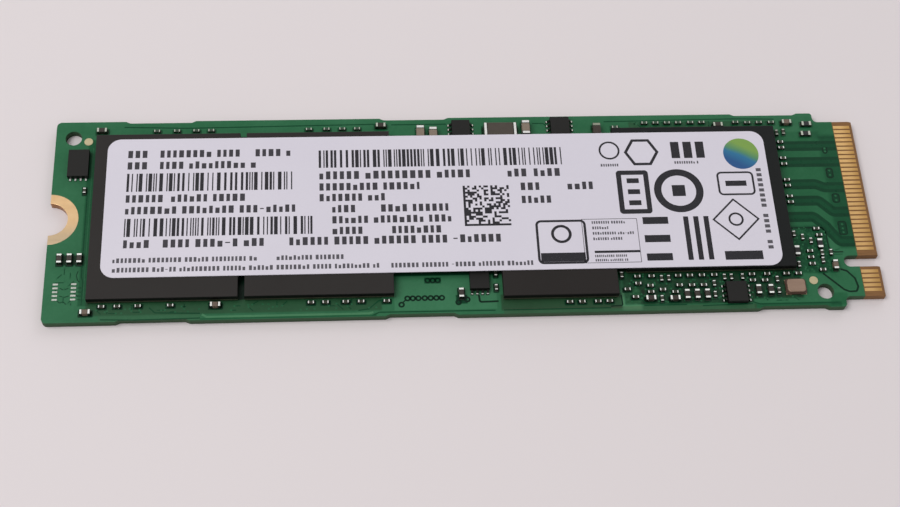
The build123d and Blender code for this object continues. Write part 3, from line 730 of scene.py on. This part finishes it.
componentLook = {
    "small_capacitor": {
        "length": 0.6, "terminal": 0.15, "toe": 0.07, "side": 0.0, "climb": 0.55, "edge": 0.025,
        "finish": "smallCapacitor", "ends": "smallSolder", "slot": "capacitor"},
    "medium_capacitor": {
        "length": 1.0, "terminal": 0.25, "toe": 0.10, "side": 0.02, "climb": 0.6, "edge": 0.035,
        "finish": "mediumCapacitor", "ends": "smallSolder", "slot": "capacitor"},
    "resistor": {
        "length": 1.0, "terminal": 0.25, "toe": 0.10, "side": 0.02, "climb": 0.6, "edge": 0.02,
        "finish": "resistor", "ends": "smallSolder", "slot": "resistor"},
    "large_capacitor": {
        "length": 1.6, "terminal": 0.35, "toe": 0.17, "side": 0.06, "climb": 0.6, "edge": 0.05,
        "finish": "largeCapacitor", "ends": "solder", "slot": "capacitor"},
    "bulk_capacitor": {
        "length": 3.3, "terminal": 0.35, "toe": 0.17, "side": 0.06, "climb": 0.6, "edge": 0.06,
        "finish": "bulkCapacitor", "ends": "solder", "slot": "capacitor"},
}


def boxShape(shape, low, high, edge):
    # A box with eased edges, added to a shape
    made = bmesh.ops.create_cube(shape, size=1.0)["verts"]
    for vertex in made:
        vertex.co = Vector([low[i] if vertex.co[i] < 0 else high[i] for i in range(3)])
    edges = list({e for vertex in made for e in vertex.link_edges})
    bmesh.ops.bevel(shape, geom=edges, offset=edge, segments=1, affect="EDGES", clamp_overlap=True)


def bodyUnit(length, width, height, edge):
    shape = bmesh.new()
    boxShape(shape, (-length / 2, -width / 2, 0), (length / 2, width / 2, height), edge)
    return meshFrom(shape, "component_body")


def terminalUnit(look, width, height):
    shape = bmesh.new()
    length, reach = look["length"] * mm, look["terminal"] * mm
    toe, side, levels = look["toe"] * mm, look["side"] * mm, 4
    for way in (-1, 1):
        inner, outer = way * (length / 2 - reach), way * length / 2
        low = (min(inner, outer), -width / 2, 0)
        high = (max(inner, outer), width / 2, height)
        boxShape(shape, low, high, look["edge"] * mm)
        rings = []
        for i in range(levels):
            t = i / (levels - 1)
            away = (1 - t) ** 2
            x = outer + way * toe * away
            y = width / 2 + side * away
            z = height * look["climb"] * t
            start = inner - way * side * 0.3 * away
            corners = ((start, -y, z), (x, -y * 0.86, z), (x, y * 0.86, z), (start, y, z))
            rings.append([shape.verts.new(corner) for corner in corners])
        stack(shape, rings)
    bmesh.ops.recalc_face_normals(shape, faces=shape.faces)
    return meshFrom(shape, "component_terminals")


def componentSet(kind):
    # Place and turn of each component of a kind, then the length, width and height of one body
    bodies = islandsOf(f"{kind}_bodies")
    places = []
    for low, high in bodies:
        turn = 0.0 if high.x - low.x > high.y - low.y else math.pi / 2
        places.append((((low.x + high.x) / 2, (low.y + high.y) / 2, boardTop), turn))
    size = bodies[0][1] - bodies[0][0]
    return places, max(size.x, size.y), min(size.x, size.y), size.z


print("stage: chip components")
wrap = 0.015 * mm  # the terminals stand proud of the body by this much
componentSets = {kind: componentSet(kind) for kind in componentLook}
for kind, look in componentLook.items():
    places, length, width, height = componentSets[kind]
    setUnits(f"{kind}_bodies_eased", bodyUnit(length, width, height, look["edge"] * mm * 0.7), places,
             look["finish"], [f"{kind}_bodies"])
    setUnits(f"{kind}_terminals_soldered", terminalUnit(look, width + 2 * wrap, height + wrap), places,
             look["ends"], [f"{kind}_terminals"])


# Mask relief: darker pockets round the pads, partly mask over bare laminate and partly painted shade round
# each part; corridors, traces and vias

reliefLook = {
    "pocketMargin": (0.20, 0.15), "pocketHeight": 0.003, "corridorHeight": 0.005, "traceHeight": 0.012,
    "sink": 0.002, "viaRadius": (0.31, 0.13), "viaHeight": 0.006, "seed": 5,
}


def flatUnit(outline, low, high):
    shape = bmesh.new()
    prism(shape, outline, low, high)
    return meshFrom(shape, "pocket")


print("stage: mask relief")
along, across = (m * mm for m in reliefLook["pocketMargin"])
# Each component stands on a darker plate: mask round its pads, and painted shade round the part
for kind, look in componentLook.items():
    places, length, width, height = componentSets[kind]
    outline = roundedOutline(0, 0, look["length"] * mm + 2 * along, width + 2 * across, 0.1 * mm, 3)
    unit = flatUnit(outline, 0, reliefLook["pocketHeight"] * mm)
    setUnits(f"{kind}_pockets", unit, places, "pocket")

# Routes from the controller to the contacts, in millimetres: wide corridors, with a pair of traces in each
signalRoutes = [
    [(72.6, 7.08), (77.93, 7.08)], [(72.6, 5.18), (77.93, 5.18)],
    [(72.55, 2.6), (75.1, 2.6), (75.9, 2.2), (77.93, 2.2)],
    [(72.55, 0.7), (75.1, 0.7), (76.35, -0.6), (77.93, -0.6)],
    [(71.5, -1.12), (74.3, -1.12), (75.35, -2.2), (75.9, -3.1), (76.5, -3.95), (77.93, -3.95)],
]
pairEnd = 77.9

# Lines in millimetres on the board, as width, corner, finish and lines: corridors first, then traces
corridors = {
    "wide": (1.15, 0.5, "bare", signalRoutes),
    "outlines": (0.19, 0.2, "dark", [
        [(74.2, -7.4), (76.0, -9.2), (76.5, -9.42), (77.2, -9.4), (77.42, -8.9), (77.25, -8.0), (76.6, -7.2),
         (76.0, -6.98)],
        [(40.72, -9.0), (40.78, -9.72), (42.55, -9.68)]]),
    "thin": (0.13, 0.15, "dark", [
        [(53.2, -10.45), (54.35, -10.4), (54.3, -9.3)], [(33.45, -9.66), (33.75, -9.38)],
        [(71.6, -2.36), (74.9, -2.36), (75.2, -2.9), (75.25, -4.6), (75.7, -5.1), (76.6, -5.1)]]),
    "faint": (0.12, 0.15, "trace", [
        [(30.6, -10.9), (31.25, -10.58), (42.2, -10.62)], [(9.85, -9.6), (10.4, -10.15), (14.6, -10.3)],
        [(5.4, -10.75), (8.5, -10.85), (14.6, -10.78)],
        [(32.2, -9.2), (31.2, -9.4), (30.3, -10.2), (29.3, -10.35)],
        [(3.42, 3.4), (3.42, -6.2), (3.6, -6.8), (3.6, -9.2)],
        [(66.9, -10.3), (67.6, -10.55), (75.2, -10.55)], [(56.4, -10.45), (60.5, -10.45)],
        [(62.0, -10.6), (66.9, -10.5)], [(43.0, -10.62), (53.2, -10.62)], [(33.0, 10.25), (38.5, 10.25)],
        [(6.6, 10.35), (12.8, 10.15), (31.8, 10.35)], [(47.2, 10.2), (48.3, 10.2), (48.6, 9.9)],
        [(54.5, 10.3), (68.0, 10.45), (72.0, 10.35)]]),
    "fine": (0.08, 0.12, "pocket", [
        [(3.1, -5.6), (2.95, -6.1), (3.1, -6.6), (3.3, -6.8)],
        [(1.35, -8.7), (1.6, -8.95), (1.9, -8.8), (2.2, -9.1)], [(1.5, -7.4), (1.9, -7.6), (2.3, -7.4)],
        [(1.5, -8.2), (2.0, -8.35), (2.4, -8.2)], [(3.15, -7.4), (3.5, -7.4)],
        [(3.15, -7.8), (3.5, -7.85)], [(3.15, -8.2), (3.5, -8.25)], [(3.15, -8.6), (3.5, -8.65)],
        [(76.5, -5.35), (75.5, -5.35), (75.5, -5.8)], [(76.3, -4.75), (75.8, -4.9)]]),
}
traces = {
    "pairs": (0.42, 0.5, "trace", [route[:-1] + [(pairEnd, route[-1][1])] for route in signalRoutes]),
    "strip": (0.2, 0.1, "bright", [[(14.75, -10.42), (15.2, -10.68), (30.3, -10.68), (30.7, -10.55)]]),
    "border": (0.1, 0.15, "rim", [[(3.72, 8.0), (3.72, -8.6)]]),
}
for kind, groups, height in (("corridors", corridors, "corridorHeight"), ("traces", traces, "traceHeight")):
    for group, (width, corner, finish, lines) in groups.items():
        lines = [[(x * mm, y * mm) for x, y in line] for line in lines]
        sink = reliefLook["sink"] * mm
        layRibbons(f"mask_{kind}_{group}", lines, width * mm, boardTop - sink,
                   sink + reliefLook[height] * mm, corner * mm, finish)


def viaUnit():
    shape = bmesh.new()
    outer, inner = (circleOutline(0, 0, radius * mm, 16) for radius in reliefLook["viaRadius"])
    ringPrism(shape, outer, inner, 0, reliefLook["viaHeight"] * mm)
    return meshFrom(shape, "via")


vias = [(x, -9.2) for x in (33.95, 34.45, 34.98, 35.58, 36.14, 36.68, 37.2)]
vias += [(x, -7.35) for x in (35.92, 36.4, 36.88)] + [(33.37, -9.84), (38.75, -9.72), (39.6, -9.43)]
viaPlaces = [((x * mm, y * mm, boardTop), 0.0) for x, y in vias]
setUnits("mask_vias", viaUnit(), viaPlaces, "dark")

# Dark islands with vias at the contacts' ends of the corridors: x, y, width, height and the vias' places
islandLook = {
    "places": [(76.7, 6.6, 0.55, 0.95, [0.15, -0.2]), (76.75, 3.85, 0.75, 1.2, [0.28, -0.22]),
               (76.9, 0.95, 0.8, 1.1, [0.25, -0.25]), (77.0, -2.45, 0.9, 1.6, [0.42, -0.05, -0.48])],
    "rim": 0.13, "radius": 0.28, "via": 0.11, "rimTop": 0.007, "bedTop": 0.009, "viaTop": 0.012,
}
rims, beds, dots = bmesh.new(), bmesh.new(), bmesh.new()
for x, y, width, height, spots in islandLook["places"]:
    for shape, less, top in (
            (rims, 0, islandLook["rimTop"]), (beds, islandLook["rim"], islandLook["bedTop"])):
        outline = roundedOutline(x * mm, y * mm, (width - 2 * less) * mm, (height - 2 * less) * mm,
                                 (islandLook["radius"] - less) * mm, 4)
        prism(shape, outline, boardTop, boardTop + top * mm)
    for spot in spots:
        outline = circleOutline(x * mm, (y + spot) * mm, islandLook["via"] * mm, 10)
        prism(dots, outline, boardTop, boardTop + islandLook["viaTop"] * mm)
addPiece("mask_island_rims", meshFrom(rims, "rims"), "dark")
addPiece("mask_island_beds", meshFrom(beds, "beds"), "bare")
addPiece("mask_island_vias", meshFrom(dots, "vias"), "rim")


crowdLook = {
    "areas": [(55.2, 71.6, -10.2, -7.1, 190), (71.8, 75.2, -7.2, -2.3, 70), (57.5, 71.5, 9.2, 10.2, 40),
              (4.3, 31.5, -10.2, -9.15, 45), (0.7, 3.4, -9.2, -5.2, 16)],
    "radius": 0.10, "stub": (0.3, 0.9), "stubWidth": 0.09, "height": 0.010, "clear": 0.16,
}


def crowd():
    # Small vias and short stubs of trace between the components
    random.seed(reliefLook["seed"])
    taken = []
    for kind in componentLook:
        taken += islandsOf(f"{kind}_bodies")
    for chip in ("supply_monitor_body", "crystal_base", "temperature_sensor_body"):
        taken.append(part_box(chip))
    clear = crowdLook["clear"] * mm
    dots, stubs = [], []
    for x0, x1, y0, y1, count in crowdLook["areas"]:
        for i in range(count):
            x, y = random.uniform(x0, x1) * mm, random.uniform(y0, y1) * mm
            if any(low.x - clear < x < high.x + clear and low.y - clear < y < high.y + clear
                   for low, high in taken):
                continue
            dots.append(((x, y, boardTop), 0.0))
            if random.random() < 0.6:
                length = random.uniform(*crowdLook["stub"]) * mm
                way = random.choice(((1, 0), (0, 1), (0.7, 0.7), (0.7, -0.7), (-1, 0), (0, -1)))
                endX = min(max(x + way[0] * length, x0 * mm), x1 * mm)
                endY = min(max(y + way[1] * length, y0 * mm), y1 * mm)
                if abs(endX - x) + abs(endY - y) > 0.15 * mm:
                    stubs.append([(x, y), (endX, endY)])
    outline = circleOutline(0, 0, crowdLook["radius"] * mm, 10)
    height = crowdLook["height"] * mm
    setUnits("mask_via_dots", flatUnit(outline, 0, height), dots, "rim")
    layRibbons("mask_stubs", stubs, crowdLook["stubWidth"] * mm, boardTop - reliefLook["sink"] * mm, height,
               0.02 * mm, "trace")


crowd()


# Leads: a bent strip with a bead of solder at its foot

leadLook = {"width": 0.2, "thickness": 0.12, "shoulder": 0.1, "foot": 0.15, "bend": 0.07, "bead": 0.06}


def leadUnit(reach, rise):
    # The strip runs out along X from the chip's side and down to the board
    shape = bmesh.new()
    half = leadLook["width"] * mm / 2
    thick = leadLook["thickness"] * mm
    shoulder, foot, bend = (leadLook[k] * mm for k in ("shoulder", "foot", "bend"))
    spine = [(0, rise), (shoulder - bend * 0.5, rise), (shoulder, rise - bend * 0.25),
             (reach - foot - bend * 0.2, thick * 1.2), (reach - foot + bend * 0.3, thick * 0.65),
             (reach - foot + bend, thick / 2), (reach, thick / 2)]
    sections = []
    for i, (x, z) in enumerate(spine):
        before, after = spine[max(i - 1, 0)], spine[min(i + 1, len(spine) - 1)]
        along = Vector((after[0] - before[0], after[1] - before[1])).normalized()
        across = Vector((-along.y, along.x)) * thick / 2
        sections.append([shape.verts.new((x + sx * across.x, sy * half, z + sx * across.y))
                         for sx, sy in ((1, -1), (1, 1), (-1, 1), (-1, -1))])
    stack(shape, sections)
    bead = leadLook["bead"] * mm
    rings = []
    for t in (0, 0.35, 0.7, 1):
        away = (1 - t) ** 2
        low, high = reach - foot - bead * 0.5 * away, reach + bead * away
        y = half + bead * 0.6 * away
        z = thick * 0.75 * t
        rings.append([shape.verts.new(p) for p in ((low, -y, z), (high, -y, z), (high, y, z), (low, y, z))])
    stack(shape, rings)
    bmesh.ops.recalc_face_normals(shape, faces=shape.faces)
    return meshFrom(shape, "lead")


print("stage: leads")
for chip in leadedChips:
    low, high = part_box(f"{chip}_body")
    centre = (low + high) / 2
    places = []
    for leadLow, leadHigh in islandsOf(f"{chip}_leads"):
        middle = (leadLow + leadHigh) / 2
        size = leadHigh - leadLow
        if size.x > size.y:
            out = 1 if middle.x > centre.x else -1
            root = (leadLow.x if out > 0 else leadHigh.x, middle.y, boardTop)
            turn = 0.0 if out > 0 else math.pi
        else:
            out = 1 if middle.y > centre.y else -1
            root = (middle.x, leadLow.y if out > 0 else leadHigh.y, boardTop)
            turn = out * math.pi / 2
        places.append((root, turn))
    reach = max(size.x, size.y)
    rise = leadHigh.z - boardTop - leadLook["thickness"] * mm / 2
    setUnits(f"{chip}_leads_bent", leadUnit(reach, rise), places, "lead", [f"{chip}_leads"])


# Label: a thin film with plain generic print, all inside the CAD label's height

labelLook = {"edge": 0.015, "inkHeight": 0.004, "seed": 11, "character": (0.38, 0.58), "gap": 0.30,
             "dashes": 0.04, "lows": 0.18, "cellShare": 0.48, "corner": 1.3,
             "discPlace": (67.72, 5.62), "discRadius": 1.78}
filmTop = labelHigh.z - labelLook["inkHeight"] * mm
labelCentre = (labelLow + labelHigh) / 2
labelSize = labelHigh - labelLow
random.seed(labelLook["seed"])


def labelFilm():
    # A flat film the size of the CAD label, with its top edges eased
    shape = bmesh.new()
    x, y = labelCentre.xy
    outline = roundedOutline(x, y, labelSize.x, labelSize.y, labelLook["corner"] * mm, 10)
    prism(shape, outline, labelLow.z, filmTop)
    rims = [e for e in shape.edges if all(abs(v.co.z - filmTop) < 1e-7 for v in e.verts)]
    bmesh.ops.bevel(shape, geom=rims, offset=labelLook["edge"] * mm, segments=2, affect="EDGES")
    bmesh.ops.triangulate(shape, faces=[f for f in shape.faces if len(f.verts) > 4])
    return addPiece("product_label_film", meshFrom(shape, "label"), "label", ["product_label"])


class Print:
    # Collects flat ink shapes, given in millimetres on the board, into one piece

    def __init__(self):
        self.shape = bmesh.new()

    def bar(self, x0, x1, y0, y1):
        low, high = sorted((y0, y1))
        self.plate([(x0, low), (x1, low), (x1, high), (x0, high)])

    def plate(self, points):
        prism(self.shape, [(x * mm, y * mm) for x, y in points], filmTop, labelHigh.z)

    def frame(self, outer, inner):
        pair = [[(x * mm, y * mm) for x, y in line] for line in (outer, inner)]
        ringPrism(self.shape, pair[0], pair[1], filmTop, labelHigh.z)

    def ring(self, x, y, outer, inner):
        self.frame(circleOutline(x, y, outer, 48), circleOutline(x, y, inner, 48))

    def roundedFrame(self, x0, x1, y0, y1, radius, stroke):
        x, y, width, height = (x0 + x1) / 2, (y0 + y1) / 2, x1 - x0, abs(y1 - y0)
        self.frame(roundedOutline(x, y, width, height, radius),
                   roundedOutline(x, y, width - 2 * stroke, height - 2 * stroke, max(radius - stroke, 0.02)))

    def words(self, x0, x1, y0, y1, word=(4, 9)):
        # A line of plain blocks with the rhythm of printed words
        x = x0
        tall = abs(y1 - y0)
        left = random.randint(*word)
        while x < x1 - 0.3 * tall:
            width = random.uniform(*labelLook["character"]) * tall
            squat = random.random()
            inner = x0 + 2 * tall < x < x1 - 2 * tall and left > 1
            if squat < labelLook["dashes"] and inner:
                self.bar(x, min(x + width, x1), y1 + 0.44 * tall, y1 + 0.58 * tall)
            elif squat < labelLook["lows"]:
                self.bar(x, min(x + width, x1), y1, y1 + 0.74 * tall)
            else:
                self.bar(x, min(x + width, x1), y1, y1 + tall)
            x += width + labelLook["gap"] * tall
            left -= 1
            if left == 0:
                x += 0.4 * tall
                left = random.randint(*word)

    def bars(self, x0, x1, y0, y1, module=0.115):
        # Uneven upright bars
        x = x0
        while x < x1 - module:
            width = module * random.choice((1, 1, 2, 3))
            self.bar(x, min(x + width, x1), y0, y1)
            x += width + module * random.choice((1, 1, 2, 3))

    def cells(self, x0, y0, side, count):
        # A square of random cells with a solid edge on two sides
        step = side / count
        for row in range(count):
            column = 0
            while column < count:
                solid = row == 0 or column == 0 or random.random() < labelLook["cellShare"]
                run = count if row == 0 else 1
                left, bottom = x0 + column * step, y0 + row * step
                if solid:
                    self.bar(left, x0 + (column + run) * step, bottom, y0 + (row + 1) * step)
                column += run

    def piece(self, name, finish):
        return addPiece(name, meshFrom(self.shape, name), finish)


print("stage: label")
labelFilm()

words = Print()
for y0, y1, spans in (
    (6.92, 6.1, [(7.3, 9.3), (10.4, 18.7), (19.6, 23.4)]), (5.62, 4.8, [(7.3, 9.3), (10.4, 20.0)]),
    (1.92, 1.1, [(7.3, 10.8), (11.6, 19.1)]), (0.62, -0.2, [(7.3, 23.6)]),
    (-3.0, -3.86, [(7.3, 10.2), (11.0, 20.5), (22.9, 43.3)]),
    (4.26, 3.36, [(25.8, 40.6), (44.2, 46.3), (46.8, 49.4)]), (2.92, 2.1, [(25.8, 35.5)]),
    (1.72, 0.9, [(25.8, 32.1)]), (0.46, -0.36, [(27.0, 29.2), (31.7, 38.2)]), (-0.76, -1.56, [(27.0, 38.9)]),
    (-1.95, -2.75, [(27.0, 30.3), (32.7, 37.8)]), (2.66, 1.8, [(45.4, 47.5), (50.0, 52.8)]),
    (1.16, 0.34, [(45.4, 48.6)]),
):
    for x0, x1 in spans:
        words.words(x0, x1, y0, y1)
words.piece("label_print_words", "wordInk")

dark = Print()
dark.bars(7.3, 23.25, 4.32, 2.3)
dark.bars(7.3, 25.1, -0.68, -2.64)
dark.bars(25.75, 49.8, 6.68, 4.68)
dark.cells(39.7, -2.1, 4.5, 20)

# Plain shapes at the card edge end
dark.ring(54.5, 6.2, 1.05, 0.86)
dark.frame(circleOutline(57.7, 5.95, 1.75, 6), circleOutline(57.7, 5.95, 1.42, 6))
for x in (60.7, 61.95, 63.2):
    dark.bar(x, x + 0.85, 7.1, 5.2)
dark.roundedFrame(54.9, 58.1, -1.05, 3.85, 0.35, 0.5)
for y in (2.95, 1.7, 0.45):
    dark.bar(55.9, 57.1, y, y - 0.55)
dark.ring(60.95, 1.47, 2.45, 1.72)
dark.bar(60.3, 61.6, 2.1, 0.85)
dark.roundedFrame(64.9, 68.6, 0.85, 3.55, 0.5, 0.2)
dark.bar(65.7, 67.8, 2.5, 1.9)
dark.frame(circleOutline(66.2, -1.85, 2.35, 4), circleOutline(66.2, -1.85, 2.1, 4))
dark.ring(66.2, -1.85, 0.75, 0.55)
for y in (-1.45, -3.45, -5.45):
    dark.bar(57.0, 59.5, y, y - 0.78)
for x in (61.0, 62.0, 63.0):
    dark.bar(x, x + 0.5, -1.45, -6.23)
dark.bar(64.6, 68.3, -5.35, -6.3)
dark.roundedFrame(46.5, 51.4, -6.4, -1.6, 0.55, 0.24)
dark.ring(48.95, -3.15, 1.0, 0.72)
dark.bar(46.8, 51.1, -5.2, -6.15)
dark.bar(52.0, 56.4, -5.05, -5.3)
dark.piece("label_print_dark", "ink")

grey = Print()
for x0, x1, y0, y1 in (
    (6.4, 19.9, -4.92, -5.42), (21.7, 28.3, -4.92, -5.42),
    (6.4, 31.5, -5.92, -6.42), (32.5, 46.1, -5.95, -6.45),
    (52.0, 55.3, -1.8, -2.1), (52.0, 53.6, -2.4, -2.7), (52.0, 56.0, -3.0, -3.3), (52.0, 54.8, -3.6, -3.9),
    (52.0, 55.2, -5.5, -5.75), (52.0, 55.2, -5.95, -6.2), (53.5, 55.5, 4.65, 4.35), (60.9, 63.4, 4.85, 4.55),
):
    grey.words(x0, x1, y0, y1, (5, 10))
for i in range(16):
    if i not in (8, 13):
        grey.bar(68.95, 69.45, 3.9 - i * 0.58, 3.9 - i * 0.58 - 0.36)
grey.roundedFrame(51.0, 56.45, -6.38, -1.55, 0.05, 0.06)
grey.piece("label_print_grey", "greyInk")

discX, discY = labelLook["discPlace"]
discRadius = labelLook["discRadius"]
finishes["disc"] = discFinish(Vector((discX, discY, 0)) * mm, discRadius * mm)
disc = Print()
disc.plate(circleOutline(discX, discY, discRadius, 64))
disc.piece("label_print_disc", "disc")


# Stage: floor, soft light and the photograph's camera

stageLook = {
    "floor": (0.754, 0.702, 0.719), "reach": 3.0,
    "ceiling": 0.34, "nearSide": 0.66, "farSide": 0.95,
    "lamps": [  # place, size, power, colour
        ((-0.26, -0.02, 0.56), 0.42, 2.38, (1.0, 0.985, 0.965)),
        ((0.30, 0.42, 0.30), 0.30, 0.42, (0.96, 0.98, 1.0)),
    ],
    "target": (0.04, 0.0, 0.0),
}

print("stage: floor, lights and camera")
floorMesh = bpy.data.meshes.new("floor")
reach = stageLook["reach"]
corners = [(-reach, -reach, 0), (reach, -reach, 0), (reach, reach, 0), (-reach, reach, 0)]
floorMesh.from_pydata(corners, [], [(0, 1, 2, 3)])
floor = newObject("floor", floorMesh)
floorFinish = Finish("floor_paper")
paper = floorFinish.varied(floorFinish.noise(6, 2.0), stageLook["floor"], 0.985, 1.015)
floorFinish.set(colour=paper, rough=0.85, specular=0.1)
floorMesh.materials.append(floorFinish.material)

for i, (place, size, power, colour) in enumerate(stageLook["lamps"]):
    lamp = bpy.data.lights.new(f"softbox_{i}", "AREA")
    lamp.size = size
    lamp.energy = power
    lamp.color = colour
    holder = newObject(f"softbox_{i}", lamp)
    aim = Vector(stageLook["target"]) - Vector(place)
    holder.matrix_world = Matrix.Translation(place) @ aim.to_track_quat("-Z", "Y").to_matrix().to_4x4()


def softRoom():
    # A darker ceiling and a pale horizon, brighter on the far side
    world = bpy.data.worlds.new("soft_room")
    bpy.context.scene.world = world
    world.use_nodes = True
    graph = Graph(world.node_tree)
    world.node_tree.nodes.clear()
    way = graph.out("ShaderNodeTexCoord", output="Generated")
    parts = graph.node("ShaderNodeSeparateXYZ", sockets={0: way})
    far, up = Signal(graph, parts.outputs[1]), Signal(graph, parts.outputs[2])
    smooth = {"interpolation_type": "SMOOTHSTEP"}
    band = graph.out("ShaderNodeMapRange", smooth, {
        "Value": far, "From Min": -0.7, "From Max": 0.7,
        "To Min": stageLook["nearSide"], "To Max": stageLook["farSide"]})
    level = graph.out("ShaderNodeMapRange", smooth, {
        "Value": up, "From Min": 0.05, "From Max": 0.75, "To Min": band, "To Max": stageLook["ceiling"]})
    room = graph.node("ShaderNodeBackground", sockets={"Color": (1.0, 0.985, 0.985, 1), "Strength": level})
    graph.node("ShaderNodeOutputWorld", sockets={"Surface": room.outputs[0]})


softRoom()

# The camera was solved from the board's known outline in the photograph
cameraLook = {
    "place": (28.148, -73.151, 129.799), "ahead": (0.06860, 0.46880, -0.88064),
    "right": (0.99747, -0.04870, 0.05177), "lens": 61.07, "sensor": 36.0,
}
lens = bpy.data.cameras.new("photo_camera")
lens.lens = cameraLook["lens"]
lens.sensor_width = cameraLook["sensor"]
lens.sensor_fit = "HORIZONTAL"
lens.clip_start = 0.005
lens.clip_end = 20.0
camera = newObject("photo_camera", lens)
back = -Vector(cameraLook["ahead"]).normalized()
side = Vector(cameraLook["right"]).normalized()
up = back.cross(side).normalized()
turn = Matrix((side, up, back)).transposed().to_4x4()
camera.matrix_world = Matrix.Translation(Vector(cameraLook["place"]) * mm) @ turn
bpy.context.scene.camera = camera
bpy.context.scene.view_settings.view_transform = "Standard"
